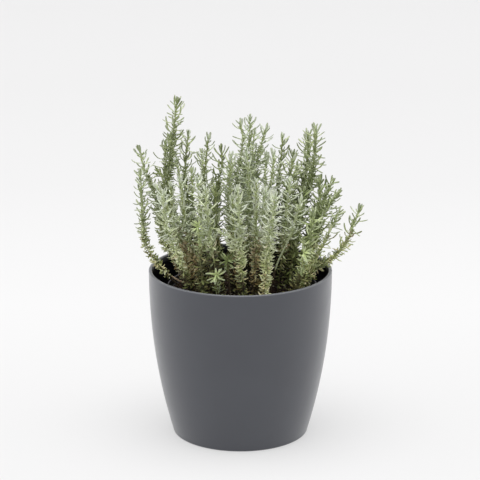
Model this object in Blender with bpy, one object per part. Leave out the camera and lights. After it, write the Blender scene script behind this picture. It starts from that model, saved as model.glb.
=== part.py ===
"""Potted curry plant: a round planter, a nursery pot with its soil, and many leafy stems.

The origin is the middle of the planter's underside, +Z is up, and the front is -Y.
Lengths are metres; MM turns millimetres into them.
"""

import math
import random

import bmesh
import bpy
from mathutils import Matrix, Vector
from mathutils.geometry import interpolate_bezier

MM = 0.001
UP = Vector((0.0, 0.0, 1.0))
GAP = 0.3 * MM

# Planter: the outline is a power curve, widest at the lip
PLANTER_RADIUS = 90.0 * MM
PLANTER_HEIGHT = 166.5 * MM
PLANTER_DRAW_IN = 23.3 * MM
PLANTER_POWER = 2.1
PLANTER_WALL = 3.2 * MM
PLANTER_FLOOR = 4.0 * MM
PLANTER_FOOT_ROUND = 1.8 * MM
PLANTER_LIP_ROUND = 1.1 * MM
PLANTER_FLOOR_ROUND = 6.0 * MM
RECESS_INNER = 24.0 * MM
RECESS_OUTER = 56.0 * MM
RECESS_DEPTH = 1.0 * MM
PLANTER_SEGMENTS = 48

# Nursery pot: thin, with a wider band at its rim
NURSERY_X = 2.0 * MM
NURSERY_BASE_RADIUS = 54.0 * MM
NURSERY_NECK_RADIUS = 71.3 * MM
NURSERY_RIM_RADIUS = 74.3 * MM
NURSERY_HEIGHT = 145.0 * MM
NURSERY_BAND = 9.0 * MM
NURSERY_WALL = 1.2 * MM
NURSERY_FLOOR = 1.5 * MM
NURSERY_SEGMENTS = 36
DRAIN_RADIUS = 4.5 * MM
DRAIN_CIRCLE = 36.0 * MM
DRAIN_HOLES = 6

# Soil: fills the nursery pot, with an uneven top and a plain hole for each stem
SOIL_TOP = 144.0 * MM
SOIL_BUMP = 0.9 * MM
HOLE_RADIUS = 2.0 * MM
HOLE_DEPTH = 10.0 * MM
HOLE_SIDES = 5

# Stems
STEM_FOOT_RADIUS = 1.25 * MM
STEM_TIP_RADIUS = 0.85 * MM
STEM_FREE = 5.0 * MM
STEM_SPIKE = 5.0 * MM
STEM_SIDES = 3
WHORL_HEIGHT = 1.2 * MM
WHORL_PITCH = 17.5 * MM
WHORL_TURN = math.radians(41.0)

# Needles
NEEDLE_LONG = 12.5 * MM
NEEDLE_SHORT = 9.0 * MM
NEEDLE_WIDTH = 1.35 * MM
NEEDLE_DEPTH = 0.9 * MM
NEEDLE_SHOULDER = 0.8
NEEDLE_REACH = 0.75 * MM

# Each stem: where its foot stands in the soil (x, y), then the points that it grows
# through (x, y, z), the last one its tip. All are millimetres.
STEM_ROUTES = [
    # the tall ones at the back left
    [(-49, 8), (-64, 8, 205), (-71, 8, 249), (-67, 10, 283), (-61, 14, 334)],
    [(-50, 26), (-64, 24, 205), (-73, 20, 240), (-73, 20, 290)],
    [(-38, 28), (-49, 27, 210), (-54, 26, 251), (-51, 24, 300)],
    [(-26, 36), (-34, 33, 205), (-36, 30, 244), (-31, 28, 295)],
    # the two that lean out over the lip at the left
    [(-61, 1), (-67, 2, 154), (-76, 0, 165), (-92, -2, 191), (-95, -4, 231), (-97, -5, 267)],
    [(-53, 5), (-63, 4, 172), (-76, 4, 196), (-83, 6, 239), (-94, 8, 267), (-99, 8, 288)],
    # the silvery group at the front left
    [(-45, -25), (-58, -26, 203), (-70, -31, 235), (-80, -36, 261)],
    [(-47, -37), (-58, -42, 186), (-71, -51, 225), (-73, -56, 262)],
    [(-45, -13), (-57, -16, 195), (-65, -18, 231), (-68, -18, 259)],
    [(-36, -31), (-49, -30, 198), (-55, -28, 238), (-58, -25, 267)],
    [(-33, -6), (-41, -8, 193), (-46, -8, 233), (-47, -8, 270)],
    [(-26, -37), (-33, -39, 196), (-39, -44, 243), (-41, -48, 272)],
    [(-18, -49), (-25, -53, 189), (-31, -59, 233), (-33, -63, 266)],
    # the middle, from left to right
    [(-21, 6), (-24, 8, 235), (-18, 8, 270), (-19, 8, 287)],
    [(2, 38), (4, 34, 250), (9, 30, 290), (9, 30, 314)],
    [(-6, 18), (-3, 16, 255), (2, 15, 292), (0, 15, 313)],
    [(12, 23), (15, 23, 262), (21, 22, 289), (26, 22, 306)],
    [(8, 53), (11, 48, 250), (14, 46, 297)],
    [(-8, -9), (-11, -8, 250), (-9, -6, 285)],
    [(6, -14), (8, -14, 255), (6, -12, 289)],
    [(30, 28), (37, 28, 240), (42, 28, 296)],
    [(24, 6), (28, 5, 235), (32, 5, 265), (31, 5, 285)],
    # the dark green ones at the back right
    [(44, 37), (58, 38, 225), (66, 38, 265), (66, 38, 295)],
    [(46, 23), (62, 21, 225), (72, 20, 268), (73, 20, 305)],
    [(38, 10), (44, 10, 230), (49, 10, 262), (52, 10, 283)],
    # the right side, each leaning further out
    [(54, 2), (68, 2, 190), (77, 3, 232), (78, 4, 258)],
    [(56, 14), (69, 14, 195), (79, 12, 226), (90, 10, 256)],
    [(56, -14), (70, -11, 190), (82, -8, 225), (96, -6, 247)],
    [(60, -23), (72, -20, 180), (84, -17, 203), (97, -15, 232)],
    [(63, -5), (76, -8, 171), (93, -8, 182), (106, -8, 202), (117, -8, 233)],
    # the silvery ones at the front
    [(3, -56), (0, -61, 198), (-1, -67, 233), (-3, -73, 269)],
    [(13, -38), (15, -38, 210), (15, -35, 267)],
    [(22, -53), (26, -55, 197), (31, -59, 238), (33, -63, 261)],
    [(29, -24), (36, -26, 180), (48, -28, 208), (59, -30, 247)],
    [(53, -31), (63, -35, 187), (68, -44, 218), (69, -52, 241)],
    # short young shoots at the front
    [(-22, -55), (-22, -57, 166), (-23, -63, 183)],
    [(-10, -46), (-11, -48, 170), (-13, -50, 195)],
    [(-34, -48), (-39, -53, 196), (-40, -60, 231)],
    [(47, -42), (56, -46, 169), (61, -55, 202)],
    # the fill of the middle
    [(17, -18), (21, -19, 200), (24, -20, 252)],
    [(37, -9), (43, -11, 205), (48, -12, 262)],
    [(46, -2), (56, -5, 205), (62, -6, 250)],
    [(-19, -24), (-23, -26, 205), (-24, -26, 258)],
    [(-4, -31), (-6, -32, 200), (-8, -33, 250)],
    # the back, which the front hides
    [(-43, 43), (-54, 50, 208), (-64, 63, 263)],
    [(-24, 55), (-33, 65, 213), (-40, 80, 268)],
    [(-6, 62), (-9, 73, 203), (-10, 89, 255)],
    [(21, 59), (24, 68, 208), (26, 84, 263)],
    [(40, 50), (50, 60, 203), (58, 76, 254)],
    [(57, 32), (73, 41, 190), (88, 54, 235)],
    [(-58, 27), (-74, 34, 190), (-88, 48, 242)],
]

# The dead twig lies with one end on the soil and the other over the nursery pot's rim
TWIG_ROUTE = [(-55, 14, 147.2), (-62, 18, 148.8), (-69, 25, 151.2), (-76, 33, 152.4)]
TWIG_RADIUS = 1.1 * MM
TWIG_SIDES = 5


def clear_scene():
    for old in list(bpy.data.objects):
        bpy.data.objects.remove(old, do_unlink=True)


def material(name, colour, roughness):
    made = bpy.data.materials.new(name)
    made.use_nodes = True
    shader = made.node_tree.nodes["Principled BSDF"]
    shader.inputs["Base Color"].default_value = (*colour, 1.0)
    shader.inputs["Roughness"].default_value = roughness
    shader.inputs["Metallic"].default_value = 0.0
    return made


def finish_object(name, bm, finish, location, parent, smooth):
    """Make an object from a bmesh, with its normals out, placed under its parent."""
    bmesh.ops.recalc_face_normals(bm, faces=bm.faces)
    mesh = bpy.data.meshes.new(name)
    bm.to_mesh(mesh)
    bm.free()
    mesh.materials.append(finish)
    if smooth:
        mesh.shade_smooth()
        mesh.set_sharp_from_angle(angle=math.radians(35.0))
    made = bpy.data.objects.new(name, mesh)
    made.location = location
    made.parent = parent
    bpy.context.scene.collection.objects.link(made)
    return made


def turned(profile, segments):
    """Spin a half outline of (radius, height) points, both ends on the axis, about Z."""
    bm = bmesh.new()
    ring = [bm.verts.new((radius, 0.0, height)) for radius, height in profile]
    edges = [bm.edges.new(pair) for pair in zip(ring, ring[1:])]
    bmesh.ops.spin(
        bm,
        geom=ring + edges,
        axis=UP,
        cent=(0.0, 0.0, 0.0),
        steps=segments,
        angle=2.0 * math.pi,
        use_merge=True,
    )
    bmesh.ops.remove_doubles(bm, verts=bm.verts, dist=0.01 * MM)
    return bm


def arc(centre, radius, start, end, steps):
    """Points of an arc in the outline's plane; the angles are degrees from outwards."""
    points = []
    for step in range(steps + 1):
        angle = math.radians(start + (end - start) * step / steps)
        points.append((centre[0] + radius * math.cos(angle), centre[1] + radius * math.sin(angle)))
    return points


def planter_radius(height):
    """The planter's outer radius at a height above its underside."""
    below_lip = (PLANTER_HEIGHT - height) / PLANTER_HEIGHT
    return PLANTER_RADIUS - PLANTER_DRAW_IN * below_lip**PLANTER_POWER


def planter_profile():
    foot = PLANTER_FOOT_ROUND
    lip = PLANTER_LIP_ROUND
    corner = PLANTER_FLOOR_ROUND
    inner_foot = planter_radius(PLANTER_FLOOR + corner) - PLANTER_WALL
    profile = [
        (0.0, 0.0),
        (RECESS_INNER, 0.0),
        (RECESS_INNER + RECESS_DEPTH, RECESS_DEPTH),
        (RECESS_OUTER - RECESS_DEPTH, RECESS_DEPTH),
        (RECESS_OUTER, 0.0),
    ]
    profile += arc((planter_radius(foot) - foot, foot), foot, -90.0, 0.0, 2)
    for share in (0.13, 0.27, 0.42, 0.58, 0.75):
        height = PLANTER_HEIGHT * share
        profile.append((planter_radius(height), height))
    top = PLANTER_HEIGHT - lip
    profile += arc((PLANTER_RADIUS - lip, top), lip, 0.0, 90.0, 2)
    profile += arc((PLANTER_RADIUS - PLANTER_WALL + lip, top), lip, 90.0, 180.0, 2)
    for share in (0.75, 0.58, 0.42, 0.27, 0.13):
        height = PLANTER_HEIGHT * share
        profile.append((planter_radius(height) - PLANTER_WALL, height))
    profile += arc((inner_foot - corner, PLANTER_FLOOR + corner), corner, 0.0, -90.0, 2)
    profile.append((0.0, PLANTER_FLOOR))
    return profile


def nursery_profile():
    band_foot = NURSERY_HEIGHT - NURSERY_BAND
    inner_neck = NURSERY_NECK_RADIUS - NURSERY_WALL
    inner_rim = NURSERY_RIM_RADIUS - 1.2 * NURSERY_WALL
    return [
        (0.0, 0.0),
        (NURSERY_BASE_RADIUS - 1.0 * MM, 0.0),
        (NURSERY_BASE_RADIUS, 1.0 * MM),
        (NURSERY_NECK_RADIUS, band_foot),
        (NURSERY_RIM_RADIUS, band_foot + 0.8 * MM),
        (NURSERY_RIM_RADIUS, NURSERY_HEIGHT - 0.6 * MM),
        (NURSERY_RIM_RADIUS - 0.6 * MM, NURSERY_HEIGHT),
        (inner_rim, NURSERY_HEIGHT - 0.5 * MM),
        (inner_rim, band_foot + 2.5 * MM),
        (inner_neck, band_foot + 1.0 * MM),
        (NURSERY_BASE_RADIUS - NURSERY_WALL, NURSERY_FLOOR + 1.0 * MM),
        (NURSERY_BASE_RADIUS - NURSERY_WALL - 1.0 * MM, NURSERY_FLOOR),
        (0.0, NURSERY_FLOOR),
    ]


def cutter_object(name, bm, parent):
    cutter = finish_object(name, bm, material(name, (0.5, 0.5, 0.5), 0.5), Vector(), parent, False)
    cutter.hide_render = True
    cutter.display_type = "WIRE"
    return cutter


def cut(target, cutter):
    boolean = target.modifiers.new("holes", "BOOLEAN")
    boolean.operation = "DIFFERENCE"
    boolean.solver = "EXACT"
    boolean.object = cutter


def post(bm, x, y, low, high, radius, sides):
    """Add one upright prism to a bmesh."""
    place = Matrix.Translation((x, y, (low + high) / 2.0))
    bmesh.ops.create_cone(
        bm,
        cap_ends=True,
        segments=sides,
        radius1=radius,
        radius2=radius,
        depth=high - low,
        matrix=place,
    )


def soil_height(x, y):
    """The height of the uneven soil top at a place in the nursery pot."""
    waves = math.sin(x / (9.0 * MM) + 0.7) * math.cos(y / (11.0 * MM))
    ripples = math.sin((x + y) / (5.5 * MM)) * math.cos((x - y) / (7.0 * MM) + 1.1)
    return SOIL_TOP + SOIL_BUMP * (waves + 0.6 * ripples) / 1.6


def make_planter(parent):
    finish = material("planter_plastic", (0.075, 0.08, 0.09), 0.55)
    bm = turned(planter_profile(), PLANTER_SEGMENTS)
    return finish_object("planter", bm, finish, Vector(), parent, True)


def make_nursery_pot(parent):
    finish = material("nursery_plastic", (0.012, 0.012, 0.014), 0.5)
    place = Vector((NURSERY_X, 0.0, PLANTER_FLOOR + GAP))
    bm = turned(nursery_profile(), NURSERY_SEGMENTS)
    pot = finish_object("nursery_pot", bm, finish, place, parent, True)
    drains = bmesh.new()
    for hole in range(DRAIN_HOLES):
        angle = 2.0 * math.pi * (hole + 0.5) / DRAIN_HOLES
        x = NURSERY_X + DRAIN_CIRCLE * math.cos(angle)
        y = DRAIN_CIRCLE * math.sin(angle)
        low = place.z - 1.0 * MM
        post(drains, x, y, low, low + NURSERY_FLOOR + 2.0 * MM, DRAIN_RADIUS, 8)
    cut(pot, cutter_object("drain_cutter", drains, parent))
    return pot


def make_soil(parent, feet):
    """A tapered plug with an uneven top, and a hole for each stem's foot."""
    finish = material("peat", (0.07, 0.035, 0.022), 0.95)
    low = PLANTER_FLOOR + GAP + NURSERY_FLOOR + GAP
    wall = NURSERY_NECK_RADIUS - NURSERY_WALL - 1.5 * GAP
    foot = NURSERY_BASE_RADIUS - NURSERY_WALL - 4.0 * GAP
    shoulder = PLANTER_FLOOR + GAP + NURSERY_HEIGHT - NURSERY_BAND
    profile = [(0.0, low), (foot - 1.0 * MM, low), (foot, low + 2.0 * MM), (wall, shoulder)]
    profile.append((wall, SOIL_TOP))
    profile += [(wall * share, SOIL_TOP) for share in (0.8, 0.6, 0.4, 0.2, 0.0)]
    bm = turned(profile, NURSERY_SEGMENTS)
    for vert in bm.verts:
        if vert.co.z > SOIL_TOP - 0.1 * MM:
            vert.co.z = soil_height(vert.co.x + NURSERY_X, vert.co.y)
    soil = finish_object("soil", bm, finish, Vector((NURSERY_X, 0.0, 0.0)), parent, True)
    holes = bmesh.new()
    for x, y in feet:
        bottom = SOIL_TOP - HOLE_DEPTH - GAP
        post(holes, x, y, bottom, SOIL_TOP + 4.0 * MM, HOLE_RADIUS, HOLE_SIDES)
    cut(soil, cutter_object("foot_cutter", holes, parent))
    return soil


def smooth_route(points, pieces=12):
    """A smooth curve through the points: a Bezier for each span, tangents from its neighbours."""
    route = []
    last = len(points) - 1
    for index in range(last):
        start = points[index]
        end = points[index + 1]
        before = points[max(index - 1, 0)]
        after = points[min(index + 2, last)]
        span = (end - start).length
        leave = (end - before).normalized() * span / 3.0
        arrive = (after - start).normalized() * span / 3.0
        route += interpolate_bezier(start, start + leave, end - arrive, end, pieces + 1)[:-1]
    return route + [points[last]]


def lengths_along(route):
    total = [0.0]
    for start, end in zip(route, route[1:]):
        total.append(total[-1] + (end - start).length)
    return total


def point_at(route, total, distance):
    """The place on the route at a distance from its start."""
    for index in range(1, len(route)):
        if total[index] >= distance:
            share = (distance - total[index - 1]) / (total[index] - total[index - 1])
            return route[index - 1].lerp(route[index], share)
    return route[-1]


def segment_gap(a, b, c, d):
    """The least distance between the segments a-b and c-d."""
    first = b - a
    second = d - c
    offset = a - c
    aa = first.dot(first)
    ee = second.dot(second)
    ff = second.dot(offset)
    bb = first.dot(second)
    cc = first.dot(offset)
    denominator = aa * ee - bb * bb
    s = 0.0
    if denominator > 1e-18:
        s = min(max((bb * ff - cc * ee) / denominator, 0.0), 1.0)
    t = (bb * s + ff) / ee
    if t < 0.0:
        t = 0.0
        s = min(max(-cc / aa, 0.0), 1.0)
    elif t > 1.0:
        t = 1.0
        s = min(max((bb - cc) / aa, 0.0), 1.0)
    return ((a + first * s) - (c + second * t)).length


class Stem:
    """One stem: the whorls' places along it, and its radius there."""

    def __init__(self, foot_and_points, index):
        x, y = foot_and_points[0]
        ground = SOIL_TOP + STEM_FREE
        points = [Vector((x * MM, y * MM, ground))]
        points += [Vector(point) * MM for point in foot_and_points[1:]]
        below = points[0] - UP * STEM_FREE
        route = smooth_route([below] + points)
        route = [point for point in route if point.z >= ground]
        total = lengths_along(route)
        free = total[-1] - STEM_SPIKE - 4.0 * MM
        whorls = max(3, round(free / WHORL_PITCH))
        self.foot = Vector((x * MM, y * MM, SOIL_TOP - HOLE_DEPTH))
        self.ground = points[0]
        self.centres = []
        for whorl in range(whorls):
            distance = 4.0 * MM + (free - 4.0 * MM) * whorl / (whorls - 1)
            low = point_at(route, total, distance)
            high = point_at(route, total, distance + WHORL_HEIGHT)
            self.centres.append((low, (high - low).normalized()))
        self.tip = route[-1]
        self.turn = index * 0.9
        self.axis = [self.foot, self.ground] + [low for low, _ in self.centres] + [self.tip]

    def radius(self, share):
        return STEM_FOOT_RADIUS + (STEM_TIP_RADIUS - STEM_FOOT_RADIUS) * share

    def ring(self, centre, along, share, turn):
        """The corners of one cross-section, and the ways that its sides face."""
        side = along.cross(Vector((0.0, 1.0, 0.0))).normalized()
        across = along.cross(side)
        corners = []
        faces = []
        for corner in range(STEM_SIDES):
            angle = turn + 2.0 * math.pi * corner / STEM_SIDES
            half = angle + math.pi / STEM_SIDES
            out = side * math.cos(angle) + across * math.sin(angle)
            corners.append(centre + out * self.radius(share))
            faces.append(side * math.cos(half) + across * math.sin(half))
        return corners, faces


def needle_rise(share):
    """How steeply a needle stands, in degrees above the level, by its share of the height."""
    knots = [(0.0, -22.0), (0.25, 5.0), (0.5, 30.0), (0.8, 50.0), (1.0, 68.0)]
    for (low, first), (high, second) in zip(knots, knots[1:]):
        if share <= high:
            return first + (second - first) * (share - low) / (high - low)
    return knots[-1][1]


def needle_path(root, out, along, rise, length):
    """The needle's axis: its root, its shoulder and its tip, which turns up a little."""
    level = (out - along * out.dot(along)).normalized()
    lean = level * math.cos(rise) + along * math.sin(rise)
    curl = (lean + along * 0.22).normalized()
    shoulder = root + lean * length * NEEDLE_SHOULDER
    return [root, shoulder, shoulder + curl * length * (1.0 - NEEDLE_SHOULDER)]


def clear_of_pots(path):
    """True where the needle stays off the soil, the nursery pot's rim and the planter's lip."""
    for point in (path[1], path[2], path[0].lerp(path[1], 0.6)):
        reach = math.hypot(point.x, point.y)
        nursery_reach = math.hypot(point.x - NURSERY_X, point.y)
        if reach > planter_radius(PLANTER_HEIGHT) - PLANTER_WALL - 2.0 * MM:
            if point.z < PLANTER_HEIGHT + 2.0 * MM:
                return False
        if nursery_reach > NURSERY_NECK_RADIUS - 4.0 * MM:
            if point.z < PLANTER_FLOOR + NURSERY_HEIGHT + 2.5 * MM:
                return False
        if point.z < SOIL_TOP + SOIL_BUMP + 1.5 * MM:
            return False
    return True


class Thicket:
    """Every stem and needle placed so far, so that a new needle keeps clear of them."""

    def __init__(self, stems, twig):
        self.axes = [stem.axis for stem in stems] + [twig]
        self.needles = []

    def has_room(self, path, own, whorl):
        own_clear = NEEDLE_REACH + STEM_FOOT_RADIUS + GAP
        middle = path[0].lerp(path[2], 0.5)
        for index, axis in enumerate(self.axes):
            if index == own:
                continue
            for start, end in zip(axis, axis[1:]):
                if segment_gap(path[0], path[2], start, end) < own_clear:
                    return False
        for other_middle, other, other_own, other_whorl in self.needles:
            if (other_middle - middle).length > 15.0 * MM:
                continue
            if other_own == own and other_whorl == whorl:
                continue
            for a, b in zip(path, path[1:]):
                for c, d in zip(other, other[1:]):
                    if segment_gap(a, b, c, d) < 2.0 * NEEDLE_REACH + GAP:
                        return False
        return True

    def add(self, path, own, whorl):
        self.needles.append((path[0].lerp(path[2], 0.5), path, own, whorl))


def raise_needle(bm, base, path, along):
    """Raise a three-sided needle from a whorl's side: low left, low right, high right, high left."""
    lean = (path[1] - path[0]).normalized()
    wide = along.cross(lean).normalized()
    above = lean.cross(wide)
    left = bm.verts.new(path[1] + wide * NEEDLE_WIDTH / 2.0 + above * NEEDLE_DEPTH / 3.0)
    right = bm.verts.new(path[1] - wide * NEEDLE_WIDTH / 2.0 + above * NEEDLE_DEPTH / 3.0)
    keel = bm.verts.new(path[1] - above * NEEDLE_DEPTH * 2.0 / 3.0)
    tip = bm.verts.new(path[2])
    low_a, low_b, high_b, high_a = base
    if (low_a.co - low_b.co).dot(wide) < 0.0:
        left, right = right, left
    faces = [
        (high_a, high_b, right),
        (high_a, right, left),
        (low_a, high_a, left),
        (low_a, left, keel),
        (high_b, low_b, right),
        (low_b, keel, right),
        (low_a, keel, low_b),
        (left, right, tip),
        (right, keel, tip),
        (keel, left, tip),
    ]
    for face in faces:
        bm.faces.new(face)


def bridge(bm, lower, upper):
    """Join two rings of a stem with triangles."""
    count = len(lower)
    for corner in range(count):
        after = (corner + 1) % count
        bm.faces.new((lower[corner], lower[after], upper[after]))
        bm.faces.new((lower[corner], upper[after], upper[corner]))


def place_needle(thicket, own, whorl, root, out, along, share, draw):
    """Try a few leans until the needle has room; None where it never has."""
    length = NEEDLE_SHORT + (NEEDLE_LONG - NEEDLE_SHORT) * min(share * 1.6, 1.0)
    length *= draw.uniform(0.9, 1.08)
    for attempt in range(14):
        swing = draw.uniform(-1.0, 1.0) * math.radians(6.0 + 2.5 * attempt)
        rise = math.radians(needle_rise(share) + draw.uniform(-1.0, 1.0) * (8.0 + 1.5 * attempt))
        rise = max(min(rise, math.radians(70.0)), math.radians(-35.0))
        turned_out = Matrix.Rotation(swing, 3, along) @ out
        path = needle_path(root, turned_out, along, rise, length)
        if clear_of_pots(path) and thicket.has_room(path, own, whorl):
            thicket.add(path, own, whorl)
            return path
    return None


def make_stem(stem, index, thicket, finish, parent):
    """A three-sided stem with whorls of three needles raised from it, fused in one body."""
    draw = random.Random(100 + index)
    bm = bmesh.new()
    turn = stem.turn

    def new_ring(centre, along, share):
        corners, faces = stem.ring(centre - stem.foot, along, share, turn)
        return [bm.verts.new(corner) for corner in corners], faces

    below, _ = new_ring(stem.foot, UP, 0.0)
    bm.faces.new(below)
    lower, _ = new_ring(stem.ground, UP, 0.0)
    bridge(bm, below, lower)
    whorls = len(stem.centres)
    for whorl, (centre, along) in enumerate(stem.centres):
        share = whorl / (whorls - 1)
        turn += WHORL_TURN
        ring, faces = new_ring(centre, along, share)
        bridge(bm, lower, ring)
        upper, _ = new_ring(centre + along * WHORL_HEIGHT, along, share)
        for side in range(STEM_SIDES):
            after = (side + 1) % STEM_SIDES
            base = (ring[side], ring[after], upper[after], upper[side])
            root = centre + along * WHORL_HEIGHT / 2.0 + faces[side] * stem.radius(share) / 2.0
            path = place_needle(thicket, index, whorl, root, faces[side], along, share, draw)
            if path is None:
                bm.faces.new((base[0], base[1], base[2]))
                bm.faces.new((base[0], base[2], base[3]))
            else:
                raise_needle(bm, base, [point - stem.foot for point in path], along)
        lower = upper
    tip = bm.verts.new(stem.tip - stem.foot)
    for side in range(STEM_SIDES):
        bm.faces.new((lower[side], lower[(side + 1) % STEM_SIDES], tip))
    name = "stem_%02d" % (index + 1)
    return finish_object(name, bm, finish, stem.foot, parent, False)


def make_twig(route, parent):
    """A dead twig: a round tube that thins to a blunt end."""
    finish = material("dead_wood", (0.42, 0.26, 0.14), 0.9)
    bm = bmesh.new()
    rings = []
    for step, centre in enumerate(route):
        along = (route[min(step + 1, len(route) - 1)] - route[max(step - 1, 0)]).normalized()
        side = along.cross(UP).normalized()
        across = along.cross(side)
        radius = TWIG_RADIUS * (1.0 - 0.35 * step / (len(route) - 1))
        ring = []
        for corner in range(TWIG_SIDES):
            angle = 2.0 * math.pi * corner / TWIG_SIDES
            out = side * math.cos(angle) + across * math.sin(angle)
            ring.append(bm.verts.new(centre - route[0] + out * radius))
        rings.append(ring)
    bm.faces.new(rings[0])
    bm.faces.new(rings[-1])
    for lower, upper in zip(rings, rings[1:]):
        bridge(bm, lower, upper)
    return finish_object("dry_twig", bm, finish, route[0], parent, True)


def main():
    clear_scene()
    plant = bpy.data.objects.new("curry_plant", None)
    bpy.context.scene.collection.objects.link(plant)
    stems = [Stem(route, index) for index, route in enumerate(STEM_ROUTES)]
    twig = smooth_route([Vector(point) * MM for point in TWIG_ROUTE], 3)
    thicket = Thicket(stems, twig)
    make_planter(plant)
    make_nursery_pot(plant)
    make_soil(plant, [(stem.foot.x, stem.foot.y) for stem in stems])
    make_twig(twig, plant)
    green = material("stem_green", (0.23, 0.30, 0.18), 0.75)
    for index, stem in enumerate(stems):
        make_stem(stem, index, thicket, green, plant)
    bpy.context.view_layer.update()


main()
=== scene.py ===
"""Looks of the potted curry plant: felted needles on every stem, peat, twig, pots and light."""

import random
from collections import namedtuple
from math import ceil, cos, hypot, pi, radians, sin, sqrt

import bmesh
import bpy
import numpy as np
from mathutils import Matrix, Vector, noise as perlin
from mathutils.geometry import interpolate_bezier


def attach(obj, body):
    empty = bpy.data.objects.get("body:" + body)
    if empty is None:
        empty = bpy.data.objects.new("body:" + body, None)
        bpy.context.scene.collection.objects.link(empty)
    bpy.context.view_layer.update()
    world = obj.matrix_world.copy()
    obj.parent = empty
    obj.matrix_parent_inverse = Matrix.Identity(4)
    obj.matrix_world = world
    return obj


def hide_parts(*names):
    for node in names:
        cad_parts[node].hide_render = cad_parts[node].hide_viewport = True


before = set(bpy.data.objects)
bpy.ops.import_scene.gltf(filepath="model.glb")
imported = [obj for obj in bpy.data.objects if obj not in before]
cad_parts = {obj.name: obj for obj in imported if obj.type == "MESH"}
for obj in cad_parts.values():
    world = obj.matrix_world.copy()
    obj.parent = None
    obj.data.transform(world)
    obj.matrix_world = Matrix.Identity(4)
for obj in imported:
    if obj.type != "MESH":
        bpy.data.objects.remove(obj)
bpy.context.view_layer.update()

MM = 0.001
UP = Vector((0.0, 0.0, 1.0))

# Planter and nursery pot (POT), as in the solids
PLANTER_RADIUS = 90 * MM
PLANTER_HEIGHT = 166.5 * MM
PLANTER_DRAW_IN = 23.3 * MM
PLANTER_POWER = 2.1
PLANTER_WALL = 3.2 * MM
PLANTER_FLOOR = 4 * MM
PLANTER_FOOT_ROUND = 1.8 * MM
PLANTER_LIP_ROUND = 1.1 * MM
PLANTER_FLOOR_ROUND = 6 * MM
RECESS_INNER = 24 * MM
RECESS_OUTER = 56 * MM
RECESS_DEPTH = 1 * MM
POT_X = 2 * MM
POT_LIFT = PLANTER_FLOOR + 0.3 * MM
POT_BASE_RADIUS = 54 * MM
POT_NECK_RADIUS = 71.3 * MM
POT_RIM_RADIUS = 74.3 * MM
POT_HEIGHT = 145 * MM
POT_BAND = 9 * MM
POT_WALL = 1.2 * MM
POT_FLOOR = 1.5 * MM
DRAIN_COUNT = 6
DRAIN_RADIUS = 4.5 * MM
DRAIN_REACH = 36 * MM
POT_SEGMENTS = 144

# Soil
SOIL_TOP = 144 * MM
SOIL_BUMP = 0.9 * MM
SOIL_RADIUS = POT_NECK_RADIUS - POT_WALL - 0.5 * MM

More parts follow.
